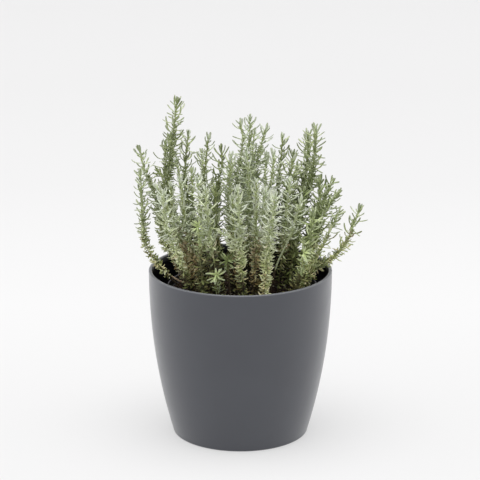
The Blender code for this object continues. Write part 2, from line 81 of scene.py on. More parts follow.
# Stems: the style, the foot in the soil (x, y), then the points that the stem grows
# through (x, y, z), the last one its tip. All are millimetres, as in the solids.
STEM_ROUTES = [
    ("dark", (-49, 8), (-64, 8, 205), (-71, 8, 249), (-67, 10, 283), (-61, 14, 334)),
    ("green", (-50, 26), (-64, 24, 205), (-73, 20, 240), (-73, 20, 290)),
    ("green", (-38, 28), (-49, 27, 210), (-54, 26, 251), (-51, 24, 300)),
    ("rusty", (-26, 36), (-34, 33, 205), (-36, 30, 244), (-31, 28, 295)),
    ("slim", (-61, 1), (-67, 2, 154), (-76, 0, 165), (-92, -2, 191), (-95, -4, 231), (-97, -5, 267)),
    ("slim", (-53, 5), (-63, 4, 172), (-76, 4, 196), (-83, 6, 239), (-94, 8, 267), (-99, 8, 288)),
    ("rusty", (-45, -25), (-58, -26, 203), (-70, -31, 235), (-80, -36, 261)),
    ("white", (-47, -37), (-58, -42, 186), (-71, -51, 225), (-73, -56, 262)),
    ("rusty", (-45, -13), (-57, -16, 195), (-65, -18, 231), (-68, -18, 259)),
    ("rusty", (-36, -31), (-49, -30, 198), (-55, -28, 238), (-58, -25, 267)),
    ("green", (-33, -6), (-41, -8, 193), (-46, -8, 233), (-47, -8, 270)),
    ("gloom", (-26, -37), (-33, -39, 196), (-39, -44, 243), (-41, -48, 272)),
    ("gloom", (-18, -49), (-25, -53, 189), (-31, -59, 233), (-33, -63, 266)),
    ("shady", (-21, 6), (-24, 8, 235), (-18, 8, 270), (-19, 8, 287)),
    ("silver", (2, 38), (4, 34, 250), (9, 30, 290), (9, 30, 314)),
    ("silver", (-6, 18), (-3, 16, 255), (2, 15, 292), (0, 15, 313)),
    ("silver", (12, 23), (15, 23, 262), (21, 22, 289), (26, 22, 306)),
    ("behind", (8, 53), (11, 48, 250), (14, 46, 297)),
    ("gloom", (-8, -9), (-11, -8, 250), (-9, -6, 285)),
    ("silver", (6, -14), (8, -14, 255), (6, -12, 289)),
    ("green", (30, 28), (37, 28, 240), (42, 28, 296)),
    ("white", (24, 6), (28, 5, 235), (32, 5, 265), (31, 5, 285)),
    ("dark", (44, 37), (58, 38, 225), (66, 38, 265), (66, 38, 295)),
    ("dark", (46, 23), (62, 21, 225), (72, 20, 268), (73, 20, 305)),
    ("dark", (38, 10), (44, 10, 230), (49, 10, 262), (52, 10, 283)),
    ("lime", (54, 2), (68, 2, 190), (77, 3, 232), (78, 4, 258)),
    ("lime", (56, 14), (69, 14, 195), (79, 12, 226), (90, 10, 256)),
    ("lime", (56, -14), (70, -11, 190), (82, -8, 225), (96, -6, 247)),
    ("slim", (60, -23), (72, -20, 180), (84, -17, 203), (97, -15, 232)),
    ("slim", (63, -5), (76, -8, 171), (93, -8, 182), (106, -8, 202), (117, -8, 233)),
    ("white", (3, -56), (0, -61, 198), (-1, -67, 233), (-3, -73, 269)),
    ("rusty", (13, -38), (15, -38, 210), (15, -35, 267)),
    ("cream", (22, -53), (26, -55, 197), (31, -59, 238), (33, -63, 261)),
    ("white", (29, -24), (36, -26, 180), (48, -28, 208), (59, -30, 247)),
    ("lime", (53, -31), (63, -35, 187), (68, -44, 218), (69, -52, 241)),
    ("fresh", (-22, -55), (-22, -57, 166), (-23, -63, 183)),
    ("sprig", (-10, -46), (-11, -48, 170), (-13, -50, 195)),
    ("fresh", (-34, -48), (-39, -53, 196), (-40, -60, 231)),
    ("fresh", (47, -42), (56, -46, 169), (61, -55, 202)),
    ("cream", (17, -18), (21, -19, 200), (24, -20, 252)),
    ("white", (37, -9), (43, -11, 205), (48, -12, 262)),
    ("lime", (46, -2), (56, -5, 205), (62, -6, 250)),
    ("shady", (-19, -24), (-23, -26, 205), (-24, -26, 258)),
    ("rusty", (-4, -31), (-6, -32, 200), (-8, -33, 250)),
    ("behind", (-43, 43), (-54, 50, 208), (-64, 63, 263)),
    ("behind", (-24, 55), (-33, 65, 213), (-40, 80, 268)),
    ("green", (-6, 62), (-9, 73, 203), (-10, 89, 255)),
    ("silver", (21, 59), (24, 68, 208), (26, 84, 263)),
    ("green", (40, 50), (50, 60, 203), (58, 76, 254)),
    ("lime", (57, 32), (73, 41, 190), (88, 54, 235)),
    ("behind", (-58, 27), (-74, 34, 190), (-88, 48, 242)),
]

# A style of shoot: how green it is, how dark, how fresh and how bright, the spacing and the size
# of its needles, how many side branchlets grow out, how much of its low part has died, and the
# millimetres above the soil below which it stands in shade
Style = namedtuple("Style", "green dark fresh bright spacing size branching dead sunk")
STYLES = {
    "white": Style(0.00, 0.00, 0.00, 0.68, 0.86, 1.00, 0.45, 0.10, 38),
    "cream": Style(0.00, 0.00, 0.00, 1.00, 0.54, 1.12, 0.45, 0.03, 0),
    "silver": Style(0.02, 0.00, 0.00, 0.32, 0.95, 1.00, 0.55, 0.20, 27),
    "gloom": Style(0.06, 0.00, 0.00, 0.48, 1.00, 1.00, 0.55, 0.40, 58),
    "rusty": Style(0.02, 0.00, 0.00, 0.50, 0.95, 1.00, 0.55, 0.88, 26),
    "green": Style(0.22, 0.00, 0.00, 0.10, 0.92, 1.04, 0.45, 0.40, 27),
    "shady": Style(0.44, 0.30, 0.00, 0.00, 0.85, 1.20, 0.60, 0.55, 52),
    "lime": Style(0.32, 0.02, 0.55, 0.05, 0.72, 1.08, 0.60, 0.15, 14),
    "dark": Style(0.36, 0.08, 0.00, 0.12, 0.60, 1.16, 0.20, 0.30, 30),
    "behind": Style(0.12, 0.00, 0.00, 0.30, 1.35, 0.88, 0.10, 0.40, 27),
    "fresh": Style(0.20, 0.00, 0.80, 0.55, 0.85, 0.90, 0.00, 0.40, 60),
    "sprig": Style(0.50, 0.40, 0.52, 0.00, 0.85, 0.85, 0.00, 0.40, 60),
    "slim": Style(0.20, 0.00, 0.03, 0.22, 0.80, 1.00, 0.00, 0.10, 10),
}

# Stems whose foot has lost its needles: the bare height above the soil, in millimetres
BARE_FEET = {1: 26, 2: 34, 5: 14, 6: 8, 24: 28, 26: 16, 27: 18, 28: 12, 34: 60, 37: 30, 45: 38}
BARE_FEET.update({49: 34, 50: 42, 51: 46})

# A stem's tube ends short of its route, where the youngest needles stand, and its skin turns from
# green to brown towards the soil, partly with age and partly as painted shade
STEM_FREE = 5 * MM
STEM_SHORT = 3.5 * MM
STEM_FOOT_DEPTH = 10 * MM
STEM_FOOT_RADIUS = 0.9 * MM
STEM_TIP_RADIUS = 0.55 * MM
STEM_SIDES = 10
STEM_STEP = 1.8 * MM
STEM_OLD_FROM = 62 * MM
STEM_OLD_OVER = 60 * MM
RIB_DEPTH = 0.12
RIB_TWIST = 0.55
FIRST_SEED = 500

# A direction on a route is taken over this distance either side
HEADING_SPAN = 1.5 * MM
GOLDEN_TURN = radians(137.508)
FULL_TURN = 2.0 * pi
ANY_TURN = (0.0, 6.28)

# A needle: where it starts, the ways it points and bends, its length and width, its bend, its
# counter-bend and its sideways sway, and the four numbers that its material reads
FIELDS = "root lean rise length width bend hook sway age tone fresh old"
Needle = namedtuple("Needle", FIELDS, defaults=(0.0, 0.0))
Line = namedtuple("Line", "route total length")
NEEDLE_WIDTH = 1.8 * MM
NEEDLE_OUT = 0.3 * MM

# A long needle and a small leaf: the cross-section in half widths, grooved above and with its
# margins rolled under, the stations along it, and the share of its width at each station
LONG_FORM = (
    [(0.0, 0.22), (0.72, 0.52), (1.0, -0.22), (0.0, -0.42), (-1.0, -0.22), (-0.72, 0.52)],
    [0.0, 0.12, 0.36, 0.62, 0.84, 0.96],
    [0.50, 0.68, 0.84, 0.97, 1.0, 0.76],
)
SMALL_FORM = (
    [(0.0, 0.55), (0.95, 0.12), (0.6, -0.5), (-0.6, -0.5), (-0.95, 0.12)],
    [0.0, 0.3, 0.68, 0.93],
    [0.55, 0.95, 1.0, 0.62],
)

# A needle's habit by its distance from the stem's tip, in millimetres: degrees above level and
# their spread, length, bend, counter-bend towards the end, and the distance to the next needle
NEEDLE_HABIT = [
    (0, 80, 8, 5.8, 0.00, 0.00, 0.95),
    (2.5, 60, 15, 7.8, -0.04, 0.12, 1.45),
    (6, 40, 20, 10.4, -0.10, 0.26, 2.05),
    (11, 27, 22, 12, -0.16, 0.36, 2.25),
    (20, 18, 23, 12.2, -0.18, 0.40, 2.00),
    (35, 11, 24, 10.8, -0.22, 0.42, 1.50),
    (52, 5, 25, 8.4, -0.28, 0.50, 1.05),
    (72, -3, 26, 5.8, -0.34, 0.62, 0.72),
    (95, -9, 28, 4.9, -0.38, 0.72, 0.56),
    (140, -12, 28, 4.5, -0.40, 0.75, 0.52),
    (220, -12, 28, 4.4, -0.40, 0.75, 0.52),
]
SHORT_NEEDLE = 8 * MM
YOUNG_TIP = 6 * MM
LOW_WIDTH = 1.05
TUFT_EVERY = 3

# Needles are old from this height above the soil downwards, and dead ones stand in patches
OLD_FROM = 72 * MM
OLD_OVER = 56 * MM
PATCH = 13 * MM
SUNK_OVER = 15 * MM

# Little light reaches the low inner part of the bush
BUSH_RADIUS = 58 * MM
BUSH_SPREAD = 0.12
BUSH_EDGE = 15 * MM
SHADE_FROM = 57 * MM
SHADE_OVER = 34 * MM

# Young shoots end in a rosette that opens outwards
SHOOTS = ("fresh", "sprig")
FRESH_SHOOT = 26 * MM
ROSETTE = 5 * MM
ROSETTE_OPEN = 2.2
ROSETTE_OVER = 12 * MM

# Small leaves close round the stem, between the long needles
CORE_FROM = 6 * MM
CORE_TO = 72 * MM
CORE_LEAVES = 2

# Side branchlets: where they start below the tip, their length, and the distance between them
BRANCH_FROM = 46 * MM
BRANCH_TO = 120 * MM
BRANCH_LENGTHS = (9 * MM, 21 * MM)
BRANCH_GAPS = (9 * MM, 20 * MM)
BRANCH_LOWEST = 58 * MM
BRANCH_RINGS = 9
BRANCH_SIDES = 6

# The rows of the UV map for long needles, small ones, the stem and its branchlets
LONG_ROWS = (0.0, 0.68)
SMALL_ROWS = (0.69, 0.90)
STEM_ROWS = (0.91, 0.95)
BRANCH_ROWS_FROM = 0.955
BRANCH_ROWS_SPAN = 0.04

TWIG_ROUTE = [(-55, 14, 147.2), (-62, 18, 148.8), (-69, 25, 151.2), (-76, 33, 152.4)]
TWIG_RADIUS = 1 * MM
TWIG_RINGS = 60
TWIG_SIDES = 12
FALLEN_NEEDLES = 260
PEAT_CRUMBS = 420


def clamp(value):
    return min(max(value, 0.0), 1.0)


def unit(vectors):
    return vectors / np.linalg.norm(vectors, axis=-1, keepdims=True)


def put(socket, value):
    """Set a socket to a number or a colour, or link another node's socket to it."""
    if isinstance(value, bpy.types.NodeSocket):
        socket.id_data.links.new(value, socket)
    else:
        socket.default_value = (*value, 1.0) if isinstance(value, tuple) else value


def wire(made, **inputs):
    """Set a node's inputs; a keyword is an input's name, with _ for a space."""
    for name, value in inputs.items():
        put(made.inputs[name.replace("_", " ")], value)


def plain_material(name, colour, roughness):
    made = bpy.data.materials.new(name)
    made.use_nodes = True
    shader = made.node_tree.nodes["Principled BSDF"]
    wire(shader, Base_Color=colour, Roughness=roughness)
    return made, made.node_tree, shader


def ramp(factor, stops):
    """A colour ramp from (position, colour) stops."""
    made = factor.id_data.nodes.new("ShaderNodeValToRGB")
    elements = made.color_ramp.elements
    while len(elements) < len(stops):
        elements.new(0.5)
    for element, (position, colour) in zip(elements, stops):
        element.position = position
        element.color = (*colour, 1.0)
    wire(made, Fac=factor)
    return made.outputs["Color"]


def greys(stops):
    """Grey ramp stops from (position, brightness) pairs."""
    return [(position, (level,) * 3) for position, level in stops]


def mix(factor, first, second, blend="MIX"):
    """Mix two colours; the factor is a number or a socket, and so is each colour."""
    values = (factor, first, second)
    sockets = [value for value in values if isinstance(value, bpy.types.NodeSocket)]
    made = sockets[0].id_data.nodes.new("ShaderNodeMix")
    made.data_type = "RGBA"
    made.blend_type = blend
    for index, value in zip((0, 6, 7), values):
        put(made.inputs[index], value)
    return made.outputs[2]


def attribute(tree, name):
    made = tree.nodes.new("ShaderNodeAttribute")
    made.attribute_name = name
    return made.outputs["Fac"]


def noise(tree, scale, detail=3.0, roughness=0.6):
    """Noise in the object's own metres."""
    place = tree.nodes.new("ShaderNodeTexCoord").outputs["Object"]
    made = tree.nodes.new("ShaderNodeTexNoise")
    wire(made, Vector=place, Scale=scale, Detail=detail, Roughness=roughness)
    return made.outputs["Fac"]


def scaled(value, low, high, new_low, new_high):
    """Map the range from low to high to a new one, and stop at its ends."""
    made = value.id_data.nodes.new("ShaderNodeMapRange")
    wire(made, Value=value, From_Min=low, From_Max=high, To_Min=new_low, To_Max=new_high)
    return made.outputs["Result"]


def product(first, second):
    made = first.id_data.nodes.new("ShaderNodeMath")
    made.operation = "MULTIPLY"
    put(made.inputs[0], first)
    put(made.inputs[1], second)
    return made.outputs[0]


def bumped(shader, height, strength, distance):
    made = shader.id_data.nodes.new("ShaderNodeBump")
    wire(made, Strength=strength, Distance=distance, Height=height)
    wire(shader, Normal=made.outputs["Normal"])


def needle_material():
    """Felted needles: silver when young, green below, straw and brown where they have died."""
    made, tree, shader = plain_material("felted_needle", (0.4, 0.46, 0.32), 0.8)
    end = attribute(tree, "end")
    old = attribute(tree, "old")
    young = scaled(old, 0.0, 1.0, 1.0, 0.0)
    ages = [
        (0.0, (0.69, 0.738, 0.64)), (0.28, (0.555, 0.61, 0.34)),
        (0.52, (0.28, 0.335, 0.105)), (0.66, (0.78, 0.75, 0.58)),
        (0.8, (0.42, 0.3, 0.16)), (0.9, (0.08, 0.056, 0.031)),
        (1.0, (0.018, 0.014, 0.009)),
    ]
    colour = ramp(attribute(tree, "age"), ages)
    colour = mix(attribute(tree, "fresh"), colour, (0.45, 0.53, 0.24))
    below = scaled(attribute(tree, "under"), 0.0, 1.0, 0.0, 0.25)
    colour = mix(below, colour, (0.5, 0.52, 0.42))

    # A young needle is greener at its base and greyer at its tip; an old one is dark at its base,
    # partly with age and partly as painted shade
    greener = product(young, scaled(end, 0.0, 0.5, 0.55, 0.0))
    colour = mix(greener, colour, (0.26, 0.33, 0.12))
    greyer = product(young, scaled(end, 0.35, 1.0, 0.0, 0.62))
    colour = mix(greyer, colour, (0.245, 0.248, 0.25))
    aged_and_shaded_base = product(old, scaled(end, 0.0, 0.55, 0.62, 0.0))
    colour = mix(aged_and_shaded_base, colour, (0.03, 0.024, 0.014))
    colour = mix(old, colour, (1.26, 1.2, 1.03), "MULTIPLY")

    # The tone carries random brightness and also painted shade on needles low in the inner bush
    tones = [(0.0, (0.24, 0.28, 0.13)), (0.45, (0.76, 0.8, 0.65)), (1.0, (1.18, 1.18, 1.13))]
    tint = ramp(attribute(tree, "tone"), tones)
    colour = mix(1.0, colour, tint, "MULTIPLY")
    shaded = tree.nodes.new("ShaderNodeVectorMath")
    shaded.operation = "SCALE"
    wire(shaded, Vector=colour, Scale=scaled(noise(tree, 900.0), 0.3, 0.7, 0.86, 1.16))
    wire(shader, Base_Color=shaded.outputs["Vector"])
    wire(shader, Sheen_Weight=0.08, Sheen_Roughness=0.5, Specular_IOR_Level=0.2)
    bumped(shader, noise(tree, 2600.0, 2.0), 0.35, 0.0002)
    return made


def stem_material():
    """Pale felted stem above, brown and fissured at the foot."""
    made, tree, shader = plain_material("felted_stem", (0.4, 0.45, 0.27), 0.8)
    ages = [
        (0.0, (0.54, 0.6, 0.38)), (0.35, (0.36, 0.41, 0.17)),
        (0.6, (0.22, 0.2, 0.09)), (1.0, (0.06, 0.04, 0.024)),
    ]
    skin = ramp(attribute(tree, "age"), ages)
    patches = scaled(noise(tree, 700.0), 0.4, 0.75, 0.0, 0.4)
    colour = mix(patches, skin, (0.22, 0.2, 0.1))
    wire(shader, Base_Color=colour, Sheen_Weight=0.05, Specular_IOR_Level=0.2)
    bumped(shader, noise(tree, 1800.0, 3.0), 0.5, 0.0003)
    return made


def planter_material():
    """Matt moulded plastic, dark blue-grey, with a very fine grain, painted shade on the inner wall
    and a painted highlight along the lip.
    """
    made, tree, shader = plain_material("matt_grey_plastic", (0.062, 0.069, 0.082), 0.5)
    cloud = scaled(noise(tree, 22.0, 4.0), 0.3, 0.7, 0.0, 1.0)
    body = mix(cloud, (0.0535, 0.0565, 0.068), (0.0575, 0.0615, 0.0735))
    inner_shade = attribute(tree, "inner_shade")
    # Painted shade: the inner wall below the lip is darkened to near black and loses its sheen and
    # most of its gloss
    body = mix(inner_shade, body, (0.01, 0.01, 0.013))
    # Painted highlight: the top of the lip is lighter
    lip = scaled(attribute(tree, "lip"), 0.0, 1.0, 0.0, 0.8)
    body = mix(lip, body, (0.115, 0.12, 0.135))
    rough = scaled(noise(tree, 60.0, 4.0), 0.3, 0.7, 0.32, 0.38)
    sheen = scaled(inner_shade, 0.0, 1.0, 0.3, 0.0)
    gloss = scaled(inner_shade, 0.0, 1.0, 0.5, 0.1)
    wire(shader, Base_Color=body, Roughness=rough, Sheen_Weight=sheen, Specular_IOR_Level=gloss)
    wire(shader, Sheen_Roughness=0.45)
    bumped(shader, noise(tree, 420.0, 2.0), 0.03, 0.0002)
    return made


def nursery_material():
    """Thin black plastic, dusty, with a painted highlight along the top of its rim."""
    made, tree, shader = plain_material("black_pot_plastic", (0.012, 0.012, 0.014), 0.42)
    dust = scaled(noise(tree, 160.0, 4.0), 0.45, 0.75, 0.0, 0.6)
    body = mix(dust, (0.005, 0.005, 0.006), (0.018, 0.015, 0.013))
    # Painted highlight: a paler band along the top of the rim
    body = mix(attribute(tree, "edge"), body, (0.12, 0.115, 0.128))
    rough = scaled(noise(tree, 90.0, 3.0), 0.3, 0.7, 0.5, 0.7)
    wire(shader, Base_Color=body, Roughness=rough)
    bumped(shader, noise(tree, 700.0, 2.0), 0.15, 0.0003)
    return made


def peat_material():
    """Moist red-brown peat with paler grains."""
    made, tree, shader = plain_material("moist_peat", (0.06, 0.03, 0.02), 0.95)
    grains = [
        (0.3, (0.008, 0.005, 0.004)), (0.5, (0.028, 0.015, 0.01)),
        (0.66, (0.07, 0.038, 0.024)), (0.8, (0.16, 0.105, 0.066)),
    ]
    wire(shader, Base_Color=ramp(noise(tree, 420.0, 5.0, 0.7), grains), Specular_IOR_Level=0.2)
    bumped(shader, noise(tree, 900.0, 5.0), 0.8, 0.0008)
    return made


def twig_material():
    """Dry tan bark with paler and darker streaks."""
    made, tree, shader = plain_material("dry_bark", (0.42, 0.27, 0.16), 0.9)
    bark = [(0.3, (0.28, 0.185, 0.11)), (0.5, (0.52, 0.39, 0.26)), (0.75, (0.68, 0.55, 0.4))]
    wire(shader, Base_Color=ramp(noise(tree, 500.0, 4.0), bark))
    bumped(shader, noise(tree, 1300.0, 4.0), 0.7, 0.0004)
    return made


def dress(made, finishes):
    """Give a new piece its materials; every piece rides on the one body."""
    for finish in finishes:
        made.data.materials.append(finish)
    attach(made, "root")


def link(name, data):
    """Add an object to the scene."""
    made = bpy.data.objects.new(name, data)
    bpy.context.scene.collection.objects.link(made)
    return made


def mesh_of(bm, name):
    """Turn a finished bmesh into a mesh."""
    mesh = bpy.data.meshes.new(name)
    bm.to_mesh(mesh)
    bm.free()
    return mesh


def turned(name, profile, place=(0.0, 0.0, 0.0), sharp=35.0):
    """Spin a half outline of (radius, height) points, both ends on the axis, about Z."""
    bm = bmesh.new()
    ring = [bm.verts.new((radius, 0.0, height)) for radius, height in profile]
    edges = [bm.edges.new(pair) for pair in zip(ring, ring[1:])]
    turn = {"axis": UP, "cent": (0.0, 0.0, 0.0), "steps": POT_SEGMENTS, "angle": FULL_TURN}
    bmesh.ops.spin(bm, geom=ring + edges, use_merge=True, **turn)
    bmesh.ops.remove_doubles(bm, verts=bm.verts, dist=0.01 * MM)
    bmesh.ops.recalc_face_normals(bm, faces=bm.faces)
    bmesh.ops.translate(bm, verts=bm.verts, vec=place)
    mesh = mesh_of(bm, name)
    mesh.shade_smooth()
    mesh.set_sharp_from_angle(angle=radians(sharp))
    return link(name, mesh)


def arc(centre, radius, start, end, steps):
    """Points of an arc in the outline's plane; the angles are degrees from outwards."""
    points = []
    for step in range(steps + 1):
        angle = radians(start + (end - start) * step / steps)
        points.append((centre[0] + radius * cos(angle), centre[1] + radius * sin(angle)))
    return points


def paint(made, name, share_of):
    """Store a number on every vertex of a piece, worked out from its place."""
    layer = made.data.attributes.new(name, "FLOAT", "POINT")
    layer.data.foreach_set("value", [share_of(vert.co) for vert in made.data.vertices])


def planter_radius(height):
    below_lip = (PLANTER_HEIGHT - height) / PLANTER_HEIGHT
    return PLANTER_RADIUS - PLANTER_DRAW_IN * below_lip**PLANTER_POWER


def inner_wall_shade(point):
    """1 on the planter's inner side below the lip, where the wall gets painted shade, 0 elsewhere."""
    if not PLANTER_FLOOR - 0.1 * MM < point[2] < PLANTER_HEIGHT - 1.5 * PLANTER_LIP_ROUND:
        return 0.0
    return float(hypot(point[0], point[1]) < planter_radius(point[2]) - 0.7 * PLANTER_WALL)


def make_planter():
    foot = PLANTER_FOOT_ROUND
    lip = PLANTER_LIP_ROUND
    corner = PLANTER_FLOOR_ROUND
    inner_foot = planter_radius(PLANTER_FLOOR + corner) - PLANTER_WALL
    shares = [step / 26.0 for step in range(1, 26)]
    profile = [
        (0.0, 0.0),
        (RECESS_INNER, 0.0),
        (RECESS_INNER + RECESS_DEPTH, RECESS_DEPTH),
        (RECESS_OUTER - RECESS_DEPTH, RECESS_DEPTH),
        (RECESS_OUTER, 0.0),
    ]
    profile += arc((planter_radius(foot) - foot, foot), foot, -90.0, 0.0, 6)
    profile += [(planter_radius(PLANTER_HEIGHT * share), PLANTER_HEIGHT * share) for share in shares]
    top = PLANTER_HEIGHT - lip
    profile += arc((PLANTER_RADIUS - lip, top), lip, 0.0, 90.0, 6)
    profile += arc((PLANTER_RADIUS - PLANTER_WALL + lip, top), lip, 90.0, 180.0, 6)
    for share in reversed(shares[1:]):
        height = PLANTER_HEIGHT * share
        profile.append((planter_radius(height) - PLANTER_WALL, height))
    profile += arc((inner_foot - corner, PLANTER_FLOOR + corner), corner, 0.0, -90.0, 5)
    profile.append((0.0, PLANTER_FLOOR))
    made = turned("planter_fine", profile)
    # Mark the inner wall below the lip for painted shade
    paint(made, "inner_shade", inner_wall_shade)
    # Mark the top of the lip for a painted highlight
    paint(made, "lip", lambda point: float(point[2] > PLANTER_HEIGHT - 0.9 * PLANTER_LIP_ROUND))
    dress(made, [planter_material()])
    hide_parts("planter")


def drill(pot):
    """Cut the drain holes through the nursery pot's floor."""
    bm = bmesh.new()
    for step in range(DRAIN_COUNT):
        angle = FULL_TURN * step / DRAIN_COUNT
        sizes = {"radius1": DRAIN_RADIUS, "radius2": DRAIN_RADIUS, "depth": 4.0 * POT_FLOOR}
        made = bmesh.ops.create_cone(bm, cap_ends=True, segments=32, **sizes)
        across = Vector((cos(angle), sin(angle), 0.0)) * DRAIN_REACH
        centre = Vector((POT_X, 0.0, POT_LIFT + POT_FLOOR / 2.0)) + across
        bmesh.ops.translate(bm, verts=made["verts"], vec=centre)
    drains = link("drains", mesh_of(bm, "drains"))
    cut = pot.modifiers.new("drains", "BOOLEAN")
    cut.operation = "DIFFERENCE"
    cut.solver = "EXACT"
    cut.object = drains
    solid = pot.evaluated_get(bpy.context.evaluated_depsgraph_get())
    drilled = bpy.data.meshes.new_from_object(solid)
    pot.modifiers.clear()
    pot.data = drilled
    pot.data.shade_smooth()
    pot.data.set_sharp_from_angle(angle=radians(35.0))
    bpy.data.objects.remove(drains)


def make_nursery_pot():
    band = POT_HEIGHT - POT_BAND
    inner_neck = POT_NECK_RADIUS - POT_WALL
    inner_rim = POT_RIM_RADIUS - 1.2 * POT_WALL
    middle = (POT_RIM_RADIUS + inner_rim) / 2.0
    edge = (POT_RIM_RADIUS - inner_rim) / 2.0
    profile = [
        (0.0, 0.0),
        (POT_BASE_RADIUS - 1 * MM, 0.0),
        (POT_BASE_RADIUS, 1 * MM),
        (POT_NECK_RADIUS, band),
        (POT_RIM_RADIUS - 0.4 * MM, band + 0.2 * MM),
        (POT_RIM_RADIUS, band + 0.8 * MM),
    ]
    profile += arc((middle, POT_HEIGHT - edge), edge, 0.0, 180.0, 6)
    profile += [
        (inner_rim, band + 2.5 * MM),
        (inner_neck, band + 1 * MM),
        (POT_BASE_RADIUS - POT_WALL, POT_FLOOR + 1 * MM),
        (POT_BASE_RADIUS - POT_WALL - 1 * MM, POT_FLOOR),
        (0.0, POT_FLOOR),
    ]
    made = turned("nursery_pot_fine", profile, (POT_X, 0.0, POT_LIFT))
    drill(made)
    # Mark the top of the rim for a painted highlight
    paint(made, "edge", lambda point: float(point[2] > POT_LIFT + POT_HEIGHT - 0.5 * MM))
    dress(made, [nursery_material()])
    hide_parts("nursery_pot")


def soil_height(x, y):
    waves = sin(x / (9 * MM) + 0.7) * cos(y / (11 * MM))
    ripples = sin((x + y) / (5.5 * MM)) * cos((x - y) / (7 * MM) + 1.1)
    return SOIL_TOP + SOIL_BUMP * (waves + 0.6 * ripples) / 1.6


def crumb_height(x, y):
    """A finer unevenness on top of the soil's waves."""
    coarse = sin(x / (2.3 * MM) + 2.0 * sin(y / (3.1 * MM)))
    fine = sin(y / (1.7 * MM) + 2.2 * sin(x / (2.1 * MM) + 1.0))
    return 0.35 * MM * coarse + 0.3 * MM * fine


def make_soil():
    low = POT_LIFT + POT_FLOOR + 0.3 * MM
    foot = POT_BASE_RADIUS - POT_WALL - 1.2 * MM
    shoulder = POT_LIFT + POT_HEIGHT - POT_BAND
    rings = 46
    profile = [(0.0, low), (foot - 1 * MM, low), (foot, low + 2 * MM), (SOIL_RADIUS, shoulder)]
    profile += [(SOIL_RADIUS * (1.0 - ring / rings), SOIL_TOP) for ring in range(rings + 1)]
    made = turned("peat_fine", profile, (POT_X, 0.0, 0.0), 80.0)
    for vert in made.data.vertices:
        x, y, z = vert.co
        if z > SOIL_TOP - 0.1 * MM:
            vert.co.z = soil_height(x, y) + crumb_height(x, y) - 0.2 * MM
    dress(made, [peat_material()])
    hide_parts("soil")


def smooth_route(points, pieces=12):
    """A smooth curve through the points: a Bezier for each span, tangents from its neighbours."""
    route = []
    befores = points[:1] + points
    afters = points[2:] + points[-1:]
    for before, start, end, after in zip(befores, points, points[1:], afters):
        span = (end - start).length
        leave = (end - before).normalized() * span / 3.0
        arrive = (after - start).normalized() * span / 3.0
        route += interpolate_bezier(start, start + leave, end - arrive, end, pieces + 1)[:-1]
    return route + points[-1:]


def stem_route(marks):
    """The stem's centre line above the soil, as in the solids; the first mark is its foot."""
    x, y = marks[0]
    ground = SOIL_TOP + STEM_FREE
    points = [Vector((x * MM, y * MM, ground))]
    points += [Vector(point) * MM for point in marks[1:]]
    route = smooth_route([points[0] - UP * STEM_FREE] + points)
    return [point for point in route if point.z >= ground]


def line_of(route, short=0.0):
    """A route with the distance of each point from its start, and the length that is used."""
    route = np.array([tuple(point) for point in route])
    steps = np.linalg.norm(np.diff(route, axis=0), axis=1)
    total = np.concatenate([[0.0], np.cumsum(steps)])
    return Line(route, total, total[-1] - short)


def places_at(line, distances):
    """Points and directions on a line at distances from its start."""
    def places(where):
        where = np.clip(where, 0.0, line.total[-1])
        return np.stack([np.interp(where, line.total, line.route[:, axis]) for axis in range(3)], 1)

    along = places(distances + HEADING_SPAN) - places(distances - HEADING_SPAN)
    return places(distances), unit(along)


def place_at(line, distance):
    points, along = places_at(line, np.array([distance]))
    return points[0], along[0]


class Shells:
    """Many closed shells: their vertices, faces, attributes and map corners."""

    def __init__(self):
        self.vertices = []
        self.faces = []
        self.corners = []
        self.layers = {"age": [], "tone": [], "under": [], "fresh": [], "end": [], "old": []}
        self.kinds = []
        self.count = 0

    def add(self, vertices, faces, corners, chart, layers, kind):
        """Add a shell; chart is its left edge, width, low edge and height in the map."""
        left, wide, low, tall = chart
        self.faces += [[index + self.count for index in face] for face in faces]
        self.corners += [(left + wide * u, low + tall * v) for face in corners for u, v in face]
        self.vertices.append(vertices)
        for name in self.layers:
            self.layers[name].append(np.broadcast_to(layers.get(name, 0.0), len(vertices)))
        self.kinds += [kind] * len(faces)
        self.count += len(vertices)

    def mesh(self, name):
        mesh = bpy.data.meshes.new(name)
        mesh.from_pydata(np.concatenate(self.vertices).tolist(), [], self.faces)
        for layer, values in self.layers.items():
            made = mesh.attributes.new(layer, "FLOAT", "POINT")
            made.data.foreach_set("value", np.concatenate(values).astype(np.float32))
        mesh.polygons.foreach_set("material_index", self.kinds)
        chart = mesh.uv_layers.new(name="OFBake")
        flat = [value for corner in self.corners for value in corner]
        chart.data.foreach_set("uv", flat)
        mesh.update()
        mesh.shade_smooth()
        return mesh


def grid_faces(rings, sides):
    """Faces of one capped shell of rings with a single tip vertex, and their chart corners."""
    faces = []
    corners = []
    for ring in range(rings):
        start = ring / rings
        end = (ring + 1) / rings
        for side in range(sides):
            low = ring * sides + side
            after = ring * sides + (side + 1) % sides
            left = side / sides
            right = (side + 1) / sides
            if ring < rings - 1:
                faces.append([low, after, after + sides, low + sides])
                corners.append([(start, left), (start, right), (end, right), (end, left)])
            else:
                faces.append([low, after, rings * sides])
                corners.append([(start, left), (start, right), (end, (left + right) / 2.0)])
    around = list(reversed(range(sides)))
    faces.append(around)
    corners.append([(0.0, side / sides) for side in around])
    return faces, corners


